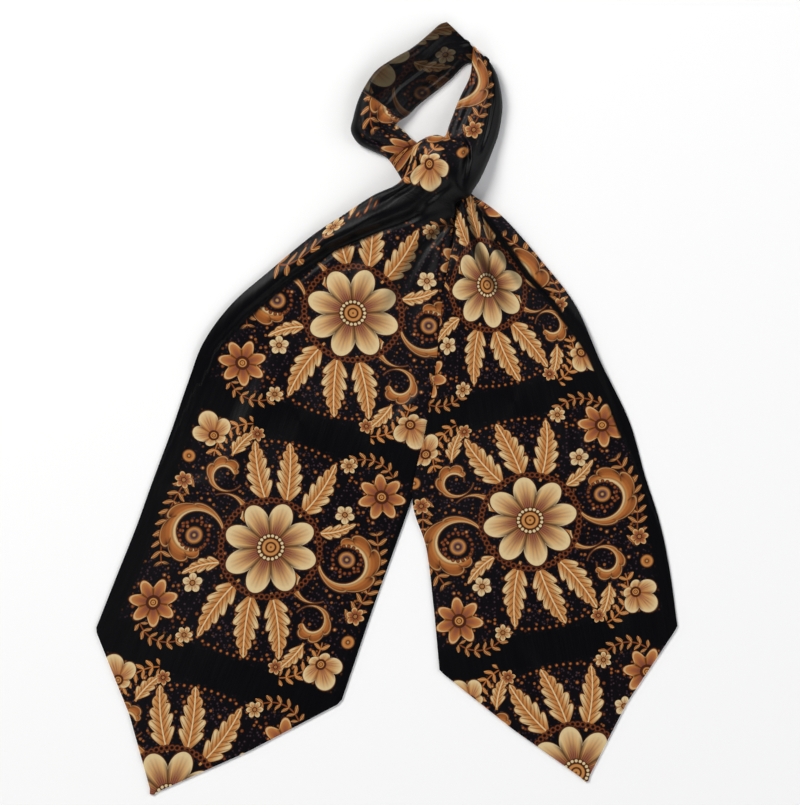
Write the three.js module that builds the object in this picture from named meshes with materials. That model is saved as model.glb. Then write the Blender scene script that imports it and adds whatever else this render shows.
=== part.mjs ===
import * as THREE from 'three';

// Silk cravat laid flat with its neck loop closed by one loose crossing.
// Millimetres, +Z up, z = 0 is the table, +Y runs from the pointed ends to the top of the loop.
// One long strip of silk makes the whole piece. It is built as the stretches that show, and
// each stretch is a loft through cross-sections that run from its outer to its inner edge.

// Driving sizes of the cloth
const WALL = 1.6;
const SEAM = 0.3;
const STEP = WALL + SEAM;
const TIP_WIDTH = 2.4;
const LAYER_GROOVE = 0.9;
const COLOUR = 0x14141a;

// A table is a list of rows with named columns.
function table(columns, rows) {
  return rows.map((row) => Object.fromEntries(columns.map((name, i) => [name, row[i]])));
}

// Cross-sections, in order along the cloth. outX, outY is the edge on the outside of the loop,
// inX, inY the other edge, lift the height of the underside, and outTop, crown and inTop the
// height of the upper face at the outer edge, in the middle and at the inner edge.
const SECTION = ['outX', 'outY', 'inX', 'inY', 'lift', 'outTop', 'crown', 'inTop'];

// The limb that goes over: from the fold at the top of the loop down the right side, across
// the front of the crossing and out as the left blade.
const OVER = table(SECTION, [
  [57, 238.6, 70, 225.6, 4.9, 7.4, 9.4, 8.0],
  [56.4, 229, 73.4, 218.4, 4.9, 8.4, 11.0, 8.2],
  [54.6, 218, 76, 206, 1.4, 8.6, 12.0, 7.6],
  [48, 204, 76.4, 196, 0.0, 8.8, 12.6, 6.4],
  [42, 188.6, 74.2, 182, 0.0, 9.6, 13.4, 6.2],
  [38.2, 179, 70.4, 171, 0.4, 11.0, 15.0, 7.4],
  [33, 180, 66.4, 161, 3.0, 13.0, 18.4, 9.6],
  [25.4, 178, 62, 151.4, 6.4, 13.6, 22.4, 10.6],
  [17.6, 172, 57.4, 144, 6.4, 12.6, 22.8, 11.0],
  [15, 161.6, 54, 139, 6.4, 11.8, 20.0, 10.8],
  [8, 148.6, 46.4, 136, 6.4, 10.6, 16.2, 9.8],
  [-9, 140.2, 45.6, 130, 6.4, 9.4, 13.0, 8.2],
  [-28.6, 127.4, 44.6, 122, 3.0, 6.6, 9.0, 4.8],
  [-49, 114, 43.6, 113, 0.0, 3.6, 6.0, 2.0],
  [-78, 90, 44, 97, 0.0, 1.6, 3.4, 1.6],
  [-102, 69, 45, 78, 0.0, 1.6, 2.0, 1.6],
  [-120.4, 44, 45, 55, 0.0, 1.6, 1.6, 1.6],
  [-131, 17, 41, 27, 0.0, 1.6, 1.6, 1.6],
  [-142.4, -16, 34, -6, 0.0, 1.6, 1.6, 1.6],
  [-155, -50, 17, -59, 0.0, 1.6, 1.6, 1.6],
  [-165, -78, 3.6, -97, 0.0, 1.6, 1.6, 1.6],
  [-177, -108, -9.4, -133, 0.0, 1.6, 1.6, 1.6],
  [-192, -146, -30, -194, 0.0, 1.6, 1.6, 1.6],
  [-169.6, -202, -91.6, -226.4, 0.0, 1.6, 1.6, 1.6],
  [-155, -254.66, -155, -254.66, 0.0, 1.6, 1.6, 1.6],
]);

// The limb that goes under: from the fold at the top of the loop along its back, round the
// left turn, beneath the crossing and out as the right blade.
const UNDER = table(SECTION, [
  [39.6, 255, 68, 227.4, 0.0, 4.2, 4.5, 3.4],
  [34.6, 253, 62, 226, 0.0, 5.0, 4.5, 3.4],
  [27.6, 246.4, 53, 227.6, 0.0, 8.4, 6.6, 3.4],
  [17, 237.4, 42, 217, 0.0, 11.6, 8.6, 3.4],
  [6, 231, 31, 208, 0.0, 12.4, 9.4, 3.6],
  [-6, 223, 21, 200, 0.0, 12.6, 10.4, 4.4],
  [-13.2, 213.6, 14, 193, 0.0, 12.0, 11.6, 5.6],
  [-18.6, 203, 8.4, 189.4, 0.0, 10.0, 12.8, 7.0],
  [-22, 191.4, 6.6, 187, 0.0, 7.6, 13.6, 8.0],
  [-23.4, 182.6, 9, 185, 0.0, 6.4, 13.2, 8.4],
  [-18.4, 174.6, 12.6, 182, 0.0, 5.6, 11.0, 8.0],
  [-9.4, 170, 16.4, 178, 0.0, 5.0, 8.6, 6.0],
  [0, 165.4, 21, 175, 0.0, 4.4, 6.6, 4.6],
  [6.2, 157.4, 26, 172, 0.0, 4.0, 6.0, 4.0],
  [12.6, 147.4, 35, 164, 0.0, 4.0, 6.0, 4.0],
  [22, 139.6, 44, 155, 0.0, 4.0, 6.0, 4.0],
  [35, 136, 52, 146, 0.0, 4.0, 6.0, 4.2],
  [45.4, 134.6, 57.6, 140.4, 0.0, 4.4, 6.0, 4.4],
  [45.4, 124, 68, 133.4, 0.0, 3.6, 7.6, 4.0],
  [43.6, 109, 80, 123, 0.0, 1.6, 6.6, 2.8],
  [39, 86, 101.4, 98.4, 0.0, 1.6, 3.8, 2.2],
  [35, 55, 124.4, 68.4, 0.0, 1.6, 2.2, 1.6],
  [32, 22, 141, 31, 0.0, 1.6, 1.6, 1.6],
  [25, -17, 160, -8, 0.0, 1.6, 1.6, 1.6],
  [17, -59, 170.4, -44, 0.0, 1.6, 1.6, 1.6],
  [26.2, -92, 180, -74, 0.0, 1.6, 1.6, 1.6],
  [31, -130, 186.6, -105, 0.0, 1.6, 1.6, 1.6],
  [35, -173, 192, -144, 0.0, 1.6, 1.6, 1.6],
  [82.6, -211, 158.8, -193.6, 0.0, 1.6, 1.6, 1.6],
  [132, -246, 132, -246, 0.0, 1.6, 1.6, 1.6],
]);

// Rows at which one stretch ends and the next begins
const KNOT_START = 4.7;
const KNOT_END = 11;
const LEFT_CORNER = 22;
const LEFT_TIP = 24;
const TURN_START = 7;
const TURN_END = 11.5;
const PINCH = 17;
const RIGHT_CORNER = 27;
const RIGHT_TIP = 29;

// Soft ridges of the cloth, each along a path of points with its own height and half width.
const RIDGE = ['x', 'y', 'height', 'half'];
const LEFT_RIDGES = [
  table(RIDGE, [[8, 128, 2.4, 9], [-37, 113, 4.2, 9], [-72, 93, 3.4, 8], [-100, 55, 0, 7]]),
  table(RIDGE, [[36, 122, 1.0, 8], [10, 92, 2.2, 11], [-14, 50, 1.6, 13], [-28, 10, 0, 13]]),
  table(RIDGE, [[-62, 52, 0, 12], [-92, -10, 1.4, 14], [-118, -70, 0, 14]]),
];
const RIGHT_RIDGES = [
  table(RIDGE, [[62, 131, 1.2, 6], [97, 91, 3.8, 7], [118, 65, 3.4, 7], [140, 34, 2.4, 6],
    [158, -10, 1.2, 6], [168, -44, 0, 5]]),
  table(RIDGE, [[56, 129, 1.0, 6], [64, 104, 3.2, 8], [76, 76, 2.0, 9], [86, 42, 0, 10]]),
  table(RIDGE, [[112, 20, 0, 12], [124, -30, 1.4, 14], [128, -80, 0, 14]]),
];

// The margin of the left blade that is turned under along its shoulder, by section row.
const HEM_START = 12.3;
const HEM_END = 16.2;
const HEM_WIDTH = table(['row', 'width'], [[11, 10], [13, 18], [14, 21], [15, 19], [16, 12], [17, 8]]);
const HEM_CLEAR = 8;
const HEM_SLOPE = 9;

const mix = THREE.MathUtils.lerp;
const clamp = THREE.MathUtils.clamp;
const smooth = (value, low, high) => THREE.MathUtils.smoothstep(value, low, high);

// One column of a section table at a place between two rows: a Catmull-Rom curve through the
// rows up to the blade's corners, and straight from the corners to the tip.
function column(rows, name, place, corner) {
  const row = clamp(Math.floor(place), 0, rows.length - 2);
  const t = place - row;
  const b = rows[row][name];
  const c = rows[row + 1][name];
  if (row >= corner) return mix(b, c, t);
  const a = row > 0 ? rows[row - 1][name] : 2 * b - c;
  const d = row + 2 <= corner ? rows[row + 2][name] : 2 * c - b;
  return b + 0.5 * t * (c - a + t * (2 * a - 5 * b + 4 * c - d + t * (3 * (b - c) + d - a)));
}

function section(rows, place, corner) {
  const at = { place };
  for (const name of SECTION) at[name] = column(rows, name, place, corner);
  const short = TIP_WIDTH - Math.hypot(at.inX - at.outX, at.inY - at.outY);
  if (short > 0) {
    const wide = rows[corner];
    const length = Math.hypot(wide.inX - wide.outX, wide.inY - wide.outY);
    const x = ((wide.inX - wide.outX) / length) * short / 2;
    const y = ((wide.inY - wide.outY) / length) * short / 2;
    at.outX -= x;
    at.outY -= y;
    at.inX += x;
    at.inY += y;
  }
  return at;
}

// How much of a row a given length takes, by the edge where the two rows are closer together
function rowsFor(rows, row, length) {
  const here = rows[Math.floor(row)];
  const next = rows[Math.floor(row) + 1];
  const dx = here.inX - here.outX;
  const dy = here.inY - here.outY;
  const across = Math.hypot(dx, dy);
  const outer = ((next.outX - here.outX) * dy - (next.outY - here.outY) * dx) / across;
  const inner = ((next.inX - here.inX) * dy - (next.inY - here.inY) * dx) / across;
  return length / Math.min(Math.abs(outer), Math.abs(inner));
}

function lookUp(rows, key, value, place) {
  const last = rows.length - 1;
  const next = rows.findIndex((row) => row[key] > place);
  if (next === 0) return rows[0][value];
  if (next < 0) return rows[last][value];
  const a = rows[next - 1];
  const b = rows[next];
  return mix(a[value], b[value], (place - a[key]) / (b[key] - a[key]));
}

// Height of a ridge over a point of the table: a raised cosine across its path
function ridgeHeight(path, x, y) {
  let best = 0;
  for (let i = 0; i + 1 < path.length; i += 1) {
    const a = path[i];
    const b = path[i + 1];
    const dx = b.x - a.x;
    const dy = b.y - a.y;
    const t = clamp(((x - a.x) * dx + (y - a.y) * dy) / (dx * dx + dy * dy), 0, 1);
    const away = Math.hypot(x - a.x - t * dx, y - a.y - t * dy) / mix(a.half, b.half, t);
    if (away < 1) {
      best = Math.max(best, mix(a.height, b.height, t) * 0.5 * (1 + Math.cos(Math.PI * away)));
    }
  }
  return best;
}

// Upper face of a section at u, from 0 at its outer to 1 at its inner edge
function topOf(at, u) {
  const edges = mix(at.outTop, at.inTop, u);
  const bulge = at.crown - mix(at.outTop, at.inTop, 0.5);
  return edges + bulge * (1 - Math.abs(2 * u - 1) ** 2.4);
}

function pointAt(at, u, z) {
  return new THREE.Vector3(mix(at.outX, at.inX, u), mix(at.outY, at.inY, u), z);
}

// Ring of a thin cloth wall. settle(at, u, x, y) is what raises the cloth off the table there.
function wallRing(at, across, ridges, settle) {
  const upper = [];
  const lower = [];
  for (let i = 0; i <= across; i += 1) {
    const u = i / across;
    const p = pointAt(at, u, 0);
    const raised = settle(at, u, p.x, p.y);
    const ridge = ridges.reduce((sum, path) => sum + ridgeHeight(path, p.x, p.y), 0);
    const top = topOf(at, u) + raised + ridge;
    const bottom = Math.max(at.lift + raised, top - WALL);
    upper.push(pointAt(at, u, top));
    lower.push(pointAt(at, u, bottom));
  }
  return [...upper, ...lower.reverse()];
}

// Ring of a folded bundle: a rounded top, a flat underside, and sides that show its layers
function bundleRing(at, across, layers, crease) {
  const width = Math.hypot(at.inX - at.outX, at.inY - at.outY);
  const inset = LAYER_GROOVE / width;
  const ring = [];
  for (let i = 1; i < across; i += 1) {
    const u = i / across;
    const dip = crease.depth * Math.max(0, 1 - Math.abs(u - crease.at) / crease.half);
    ring.push(pointAt(at, u, topOf(at, u) - dip));
  }
  const side = (u, inward, top) => {
    const points = [];
    for (let k = layers; k > 0; k -= 1) {
      const low = mix(at.lift, top, (k - 1) / layers);
      const high = mix(at.lift, top, k / layers);
      points.push(pointAt(at, u, mix(low, high, 0.78)));
      points.push(pointAt(at, u, mix(low, high, 0.22)));
      if (k > 1) points.push(pointAt(at, u + inward * inset, low));
    }
    return points;
  };
  ring.push(...side(1, -1, at.inTop));
  ring.push(pointAt(at, 1 - inset, at.lift), pointAt(at, 0.5, at.lift), pointAt(at, inset, at.lift));
  ring.push(...side(0, 1, at.outTop).reverse());
  return ring;
}

// End caps of a loft: across the wall from each upper to its lower point, or round a middle point
function wallCap(rings, start) {
  const half = rings[0].length / 2;
  const faces = [];
  for (let i = 0; i + 1 < half; i += 1) {
    const upper = start + i;
    const lower = start + 2 * half - 1 - i;
    faces.push([upper, lower, upper + 1], [upper + 1, lower, lower - 1]);
  }
  return faces;
}

function bundleCap(rings, start, middle) {
  const size = rings[0].length;
  return Array.from({ length: size }, (_, i) => [start + i, middle, start + ((i + 1) % size)]);
}

// Closed mesh through rings of equal length
function loft(name, rings, roughness, isWall) {
  const size = rings[0].length;
  const points = rings.flat();
  const faces = [];
  for (let r = 0; r + 1 < rings.length; r += 1) {
    for (let i = 0; i < size; i += 1) {
      const a = r * size + i;
      const b = r * size + ((i + 1) % size);
      faces.push([a, a + size, b], [b, a + size, b + size]);
    }
  }
  const ends = [rings[0], rings[rings.length - 1]];
  ends.forEach((ring, end) => {
    const start = end * (rings.length - 1) * size;
    const middle = points.length;
    if (!isWall) {
      const centre = new THREE.Vector3();
      ring.forEach((p) => centre.addScaledVector(p, 1 / size));
      points.push(centre);
    }
    const cap = isWall ? wallCap(rings, start) : bundleCap(rings, start, middle);
    faces.push(...cap.map(([a, b, c]) => (end === 0 ? [a, c, b] : [a, b, c])));
  });
  const geometry = new THREE.BufferGeometry();
  geometry.setAttribute('position', new THREE.Float32BufferAttribute(points.flatMap((p) => [p.x, p.y, p.z]), 3));
  geometry.setIndex(outward(points, faces).flat());
  geometry.computeVertexNormals();
  const material = new THREE.MeshStandardMaterial({ color: COLOUR, roughness, metalness: 0 });
  const mesh = new THREE.Mesh(geometry, material);
  mesh.name = name;
  return mesh;
}

// The faces turned so that the solid's volume counts as positive
function outward(points, faces) {
  const volume = faces.reduce((sum, [a, b, c]) => {
    const normal = new THREE.Vector3().crossVectors(points[b], points[c]);
    return sum + points[a].dot(normal);
  }, 0);
  return volume > 0 ? faces : faces.map(([a, b, c]) => [a, c, b]);
}

// Places of the cross-sections of one stretch, its ends drawn back by half a seam
function places(rows, start, end, perRow, openStart, openEnd) {
  const first = start + (openStart ? rowsFor(rows, start, SEAM / 2) : 0);
  const last = end - (openEnd ? rowsFor(rows, end - 1, SEAM / 2) : 0);
  const count = Math.max(2, Math.round((end - start) * perRow));
  return Array.from({ length: count + 1 }, (_, i) => mix(first, last, i / count));
}

// Height that the turned-under margin gives the left blade above the table
function hemLift(at, u) {
  const width = Math.hypot(at.inX - at.outX, at.inY - at.outY);
  const hem = lookUp(HEM_WIDTH, 'row', 'width', at.place);
  const across = 1 - smooth(u * width, hem + HEM_CLEAR, hem + HEM_CLEAR + HEM_SLOPE);
  const along = smooth(at.place, HEM_START - 1.2, HEM_START - 0.2)
    * (1 - smooth(at.place, HEM_END + 0.1, HEM_END + 1));
  return STEP * across * along;
}

// Height of the right blade's inner margin, which lies on the left blade's inner edge
const LEFT_INNER = OVER.slice(12, 20);
const LAP_CLEAR = 6;
const LAP_SLOPE = 12;
const LAP_EXTRA = 0.6;
function lapLift(at, u, x, y) {
  const rows = LEFT_INNER.map((row) => ({ depth: -row.inY, edge: row.inX }));
  const edge = lookUp(rows, 'depth', 'edge', -y);
  const across = 1 - smooth(x, edge + LAP_CLEAR, edge + LAP_CLEAR + LAP_SLOPE);
  const along = smooth(-y, -126, -118) * (1 - smooth(-y, 62, 82));
  return (STEP + LAP_EXTRA * smooth(y, 75, 95)) * across * along;
}

// Neck loop, right side, seen from the outer face of the cloth
function neckRight() {
  const rings = places(OVER, 0, KNOT_START, 3, false, true)
    .map((place) => bundleRing(section(OVER, place, LEFT_CORNER), 9, 3, { at: 0.62, half: 0.16, depth: 1.1 }));
  return loft('neck_loop_right', rings, 0.45, false);
}

// Front of the crossing: the cloth wells up out of the loop and falls over the front
function knotFall() {
  const rings = places(OVER, KNOT_START, KNOT_END, 3, true, true)
    .map((place) => bundleRing(section(OVER, place, LEFT_CORNER), 10, 3, { at: 0.7, half: 0.14, depth: 1.6 }));
  return loft('knot_fall', rings, 0.45, false);
}

// Neck loop, back, seen from the inner face of the cloth
function neckBack() {
  const rings = places(UNDER, 0, TURN_START, 3, false, true)
    .map((place) => bundleRing(section(UNDER, place, RIGHT_CORNER), 9, 3, { at: 0.55, half: 0.16, depth: 0.9 }));
  return loft('neck_loop_back', rings, 0.45, false);
}

function leftTurn() {
  const rings = places(UNDER, TURN_START, TURN_END, 4, true, true)
    .map((place) => bundleRing(section(UNDER, place, RIGHT_CORNER), 9, 3, { at: 0.4, half: 0.18, depth: 1.0 }));
  return loft('neck_loop_turn', rings, 0.45, false);
}

function underPass() {
  const rings = places(UNDER, TURN_END, PINCH, 3, true, true)
    .map((place) => bundleRing(section(UNDER, place, RIGHT_CORNER), 8, 2, { at: 0.5, half: 0.2, depth: 0.4 }));
  return loft('under_pass', rings, 0.45, false);
}

const nearTip = (corner, tip, steps) => Array.from({ length: steps }, (_, i) => mix(corner, tip, (i + 1) / steps));

const LEFT_PLACES = places(OVER, KNOT_END, LEFT_CORNER, 3, true, false);

function leftBlade() {
  const rings = [...LEFT_PLACES, ...nearTip(LEFT_CORNER, LEFT_TIP, 6)]
    .map((place) => wallRing(section(OVER, place, LEFT_CORNER), 18, LEFT_RIDGES, hemLift));
  return loft('left_blade', rings, 0.4, true);
}

function leftHem() {
  const rings = LEFT_PLACES.filter((place) => place > HEM_START && place < HEM_END).map((place) => {
    const at = section(OVER, place, LEFT_CORNER);
    const width = Math.hypot(at.inX - at.outX, at.inY - at.outY);
    const hem = lookUp(HEM_WIDTH, 'row', 'width', place);
    const upper = [0, 0.33, 0.67, 1].map((t) => pointAt(at, mix(0.8, hem, t) / width, at.lift + WALL));
    const lower = upper.map((p) => new THREE.Vector3(p.x, p.y, at.lift));
    return [...upper, ...lower.reverse()];
  });
  return loft('left_blade_turned_edge', rings, 0.4, true);
}

function rightBlade() {
  const rings = [...places(UNDER, PINCH, RIGHT_CORNER, 3, true, false), ...nearTip(RIGHT_CORNER, RIGHT_TIP, 6)]
    .map((place) => wallRing(section(UNDER, place, RIGHT_CORNER), 18, RIGHT_RIDGES, lapLift));
  return loft('right_blade', rings, 0.4, true);
}

const cravat = new THREE.Group();
cravat.add(
  leftBlade(),
  leftHem(),
  rightBlade(),
  neckRight(),
  neckBack(),
  leftTurn(),
  underPass(),
  knotFall(),
);

export default cravat;
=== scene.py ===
import math

import bmesh
import bpy
import numpy as np
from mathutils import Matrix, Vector


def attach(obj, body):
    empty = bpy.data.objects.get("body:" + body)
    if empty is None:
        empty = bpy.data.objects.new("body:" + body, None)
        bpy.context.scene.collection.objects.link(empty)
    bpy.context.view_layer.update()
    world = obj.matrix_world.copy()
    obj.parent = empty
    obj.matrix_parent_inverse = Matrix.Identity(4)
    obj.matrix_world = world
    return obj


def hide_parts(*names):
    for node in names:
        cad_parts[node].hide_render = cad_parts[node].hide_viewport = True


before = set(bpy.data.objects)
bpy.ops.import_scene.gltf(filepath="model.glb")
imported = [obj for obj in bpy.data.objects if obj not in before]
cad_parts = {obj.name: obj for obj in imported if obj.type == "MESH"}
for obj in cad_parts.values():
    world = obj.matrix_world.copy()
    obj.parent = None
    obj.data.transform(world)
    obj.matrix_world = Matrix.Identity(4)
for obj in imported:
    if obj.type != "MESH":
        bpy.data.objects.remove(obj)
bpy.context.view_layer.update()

MM = 0.001

# The table. The cravat lies on a plain matt white sheet of card, which runs on past the
# picture on every side.
TABLE_SIZE = 6.0


def plain_material(name, colour, roughness):
    material = bpy.data.materials.new(name)
    material.use_nodes = True
    shader = material.node_tree.nodes["Principled BSDF"]
    shader.inputs["Base Color"].default_value = (*colour, 1)
    shader.inputs["Roughness"].default_value = roughness
    return material


def finished_object(name, bm, material):
    mesh = bpy.data.meshes.new(name)
    bm.to_mesh(mesh)
    bm.free()
    mesh.materials.append(material)
    piece = bpy.data.objects.new(name, mesh)
    bpy.context.scene.collection.objects.link(piece)
    return piece


card = bmesh.new()
bmesh.ops.create_grid(card, x_segments=1, y_segments=1, size=TABLE_SIZE / 2)
table = finished_object("table", card, plain_material("white_card", (0.94, 0.94, 0.94), 0.9))

# The view and the light. The camera looks straight down through a long lens. The main soft
# lamp stands beyond the loop on the left, with a weaker one on the right and one in front.
PHOTO_WIDTH, PHOTO_HEIGHT = 800, 805
PIXEL = 0.66
MIDDLE_X, MIDDLE_Y = 386.5, 408.5
LENS = 150
SENSOR = 36

camera = bpy.data.objects.new("camera", bpy.data.cameras.new("camera"))
camera.data.lens = LENS
camera.data.sensor_width = SENSOR
camera.data.clip_end = 20
camera.location = (
    (PHOTO_WIDTH / 2 - MIDDLE_X) * PIXEL * MM,
    (MIDDLE_Y - PHOTO_HEIGHT / 2) * PIXEL * MM,
    LENS / SENSOR * PHOTO_HEIGHT * PIXEL * MM,
)
bpy.context.scene.collection.objects.link(camera)
bpy.context.scene.camera = camera


def soft_lamp(name, place, size, watts, colour):
    lamp = bpy.data.objects.new(name, bpy.data.lights.new(name, "AREA"))
    lamp.data.size = size
    lamp.data.energy = watts
    lamp.data.color = colour
    lamp.location = place
    lamp.rotation_euler = (-Vector(place)).to_track_quat("-Z", "Y").to_euler()
    bpy.context.scene.collection.objects.link(lamp)


soft_lamp("lamp_left", (-1.4, 1.5, 1.8), 1.1, 68, (1.0, 0.99, 0.97))
soft_lamp("lamp_right", (2.0, 0.4, 1.3), 1.6, 23, (0.97, 0.98, 1.0))
soft_lamp("lamp_front", (0.2, -2.2, 1.3), 1.6, 20, (1.0, 1.0, 1.0))

WALL_LIGHT = (0.62, 0.63, 0.65, 1)
CEILING_LIGHT = (0.05, 0.05, 0.055, 1)
CEILING_FROM = 0.7
world = bpy.data.worlds.new("studio")
world.use_nodes = True
sky = world.node_tree
direction = sky.nodes.new("ShaderNodeTexCoord")
height_above = sky.nodes.new("ShaderNodeSeparateXYZ")
sky.links.new(direction.outputs["Generated"], height_above.inputs[0])
room = sky.nodes.new("ShaderNodeValToRGB")
room.color_ramp.elements[0].color = WALL_LIGHT
room.color_ramp.elements[1].position = CEILING_FROM
room.color_ramp.elements[1].color = CEILING_LIGHT
sky.links.new(height_above.outputs["Z"], room.inputs["Fac"])
sky.links.new(room.outputs["Color"], sky.nodes["Background"].inputs["Color"])
bpy.context.scene.world = world
bpy.context.scene.view_settings.view_transform = "Standard"

# The strip of silk. One length of cloth makes the whole cravat: its upper limb goes down the
# right of the neck loop, over the crossing and out as the left blade, and its lower limb
# along the back of the loop, under the crossing and out as the right blade. The rows are
# cross-sections in millimetres, from the outer to the inner edge of the loop.
CLOTH = 1.2
SUNK = 0.35
COLUMNS = ("outX", "outY", "inX", "inY", "lift", "outTop", "crown", "inTop")
OVER = np.array([
    (57, 238.6, 70, 225.6, 4.9, 7.4, 9.4, 8.0),
    (56.4, 229, 73.4, 218.4, 4.9, 8.4, 11.0, 8.2),
    (54.6, 218, 76, 206, 1.4, 8.6, 12.0, 7.6),
    (48, 204, 76.4, 196, 0.0, 8.8, 12.6, 6.4),
    (42, 188.6, 74.2, 182, 0.0, 9.6, 13.4, 6.2),
    (38.2, 179, 70.4, 171, 0.4, 11.0, 15.0, 7.4),
    (33, 180, 66.4, 161, 3.0, 13.0, 18.4, 9.6),
    (25.4, 178, 62, 151.4, 6.4, 13.6, 22.4, 10.6),
    (17.6, 172, 57.4, 144, 6.4, 12.6, 22.8, 11.0),
    (15, 161.6, 54, 139, 6.4, 11.8, 20.0, 10.8),
    (8, 148.6, 46.4, 136, 6.4, 10.6, 16.2, 9.8),
    (-9, 140.2, 45.6, 130, 6.4, 9.4, 13.0, 8.2),
    (-28.6, 127.4, 44.6, 122, 3.0, 6.6, 9.0, 4.8),
    (-49, 114, 43.6, 113, 0.0, 3.6, 6.0, 2.0),
    (-78, 90, 44, 97, 0.0, 1.6, 3.4, 1.6),
    (-102, 69, 45, 78, 0.0, 1.6, 2.0, 1.6),
    (-120.4, 44, 45, 55, 0.0, 1.6, 1.6, 1.6),
    (-131, 17, 41, 27, 0.0, 1.6, 1.6, 1.6),
    (-142.4, -16, 34, -6, 0.0, 1.6, 1.6, 1.6),
    (-155, -50, 17, -59, 0.0, 1.6, 1.6, 1.6),
    (-165, -78, 3.6, -97, 0.0, 1.6, 1.6, 1.6),
    (-177, -108, -9.4, -133, 0.0, 1.6, 1.6, 1.6),
    (-192, -146, -30, -194, 0.0, 1.6, 1.6, 1.6),
    (-169.6, -202, -91.6, -226.4, 0.0, 1.6, 1.6, 1.6),
    (-155, -254.6, -155, -254.6, 0.0, 1.6, 1.6, 1.6),
])
UNDER = np.array([
    (39.6, 255, 68, 227.4, 0.0, 4.2, 4.5, 3.4),
    (34.6, 253, 62, 226, 0.0, 5.0, 4.5, 3.4),
    (27.6, 246.4, 53, 227.6, 0.0, 8.4, 6.6, 3.4),
    (17, 237.4, 42, 217, 0.0, 11.6, 8.6, 3.4),
    (6, 231, 31, 208, 0.0, 12.4, 9.4, 3.6),
    (-6, 223, 21, 200, 0.0, 12.6, 10.4, 4.4),
    (-13.2, 213.6, 14, 193, 0.0, 12.0, 11.6, 5.6),
    (-18.6, 203, 8.4, 189.4, 0.0, 10.0, 12.8, 7.0),
    (-22, 191.4, 6.6, 187, 0.0, 7.6, 13.6, 8.0),
    (-23.4, 182.6, 9, 185, 0.0, 6.4, 13.2, 8.4),
    (-18.4, 174.6, 12.6, 182, 0.0, 5.6, 11.0, 8.0),
    (-9.4, 170, 16.4, 178, 0.0, 5.0, 8.6, 6.0),
    (0, 165.4, 21, 175, 0.0, 4.4, 6.6, 4.6),
    (6.2, 157.4, 26, 172, 0.0, 4.0, 6.0, 4.0),
    (12.6, 147.4, 35, 164, 0.0, 4.0, 6.0, 4.0),
    (22, 139.6, 44, 155, 0.0, 4.0, 6.0, 4.0),
    (35, 136, 52, 146, 0.0, 4.0, 6.0, 4.2),
    (45.4, 134.6, 57.6, 140.4, 0.0, 4.4, 6.0, 4.4),
    (45.4, 124, 68, 133.4, 0.0, 3.6, 7.6, 4.0),
    (43.6, 109, 80, 123, 0.0, 1.6, 6.6, 2.8),
    (39, 86, 101.4, 98.4, 0.0, 1.6, 3.8, 2.2),
    (35, 55, 124.4, 68.4, 0.0, 1.6, 2.2, 1.6),
    (32, 22, 141, 31, 0.0, 1.6, 1.6, 1.6),
    (25, -17, 160, -8, 0.0, 1.6, 1.6, 1.6),
    (17, -59, 170.4, -44, 0.0, 1.6, 1.6, 1.6),
    (26.2, -92, 180, -74, 0.0, 1.6, 1.6, 1.6),
    (31, -130, 186.6, -105, 0.0, 1.6, 1.6, 1.6),
    (35, -173, 192, -144, 0.0, 1.6, 1.6, 1.6),
    (82.6, -211, 158.8, -193.6, 0.0, 1.6, 1.6, 1.6),
    (132, -246, 132, -246, 0.0, 1.6, 1.6, 1.6),
])
OVER_CORNER, OVER_TIP = 22, 24
UNDER_CORNER, UNDER_TIP = 27, 29
TIP_WIDTH = 2.4
ROUNDNESS = 2.4
ROLL_FRONT, ROLL_BACK = (-1.2, 3), (5, 15)
VALLEY_MIDDLE, VALLEY_HALF = -3.2, 4.2
EVEN_SHARE, EDGE_SHARE = 0.45, 0.55
RIM_SHARE = 0.3


def smooth(value, low, high):
    t = np.clip((value - low) / (high - low), 0, 1)
    return t * t * (3 - 2 * t)


def section(rows, place, corner):
    """The row at a place between two rows: a smooth curve up to the corners, then straight."""
    row = min(max(int(place), 0), len(rows) - 2)
    t = place - row
    b, c = rows[row], rows[row + 1]
    if row >= corner:
        values = b + (c - b) * t
    else:
        a = rows[row - 1] if row > 0 else 2 * b - c
        d = rows[row + 2] if row + 2 <= corner else 2 * c - b
        values = b + 0.5 * t * (c - a + t * (2 * a - 5 * b + 4 * c - d + t * (3 * (b - c) + d - a)))
    at = dict(zip(COLUMNS, values))
    at["place"] = place
    at["out"] = np.array((at["outX"], at["outY"]))
    at["in"] = np.array((at["inX"], at["inY"]))
    short = TIP_WIDTH - np.linalg.norm(at["in"] - at["out"])
    if short > 0:
        wide = rows[corner][2:4] - rows[corner][0:2]
        half = wide / np.linalg.norm(wide) * short / 2
        at["out"], at["in"] = at["out"] - half, at["in"] + half
    at["width"] = np.linalg.norm(at["in"] - at["out"])
    return at


def hump(away):
    """A raised cosine, 1 in the middle and 0 from a distance of 1 outwards."""
    return np.where(np.abs(away) < 1, 0.5 + 0.5 * np.cos(np.pi * np.clip(away, -1, 1)), 0)


def ridge_height(path, x, y):
    """Rise or dip over x, y along a path of rows (x, y, height, half width)."""
    best = np.zeros_like(x)
    for a, b in zip(path, path[1:]):
        dx, dy = b[0] - a[0], b[1] - a[1]
        t = np.clip(((x - a[0]) * dx + (y - a[1]) * dy) / (dx * dx + dy * dy), 0, 1)
        half = a[3] + (b[3] - a[3]) * t
        away = np.hypot(x - a[0] - t * dx, y - a[1] - t * dy) / half
        rise = (a[2] + (b[2] - a[2]) * t) * hump(away)
        best = np.where(np.abs(rise) > np.abs(best), rise, best)
    return best


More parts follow.
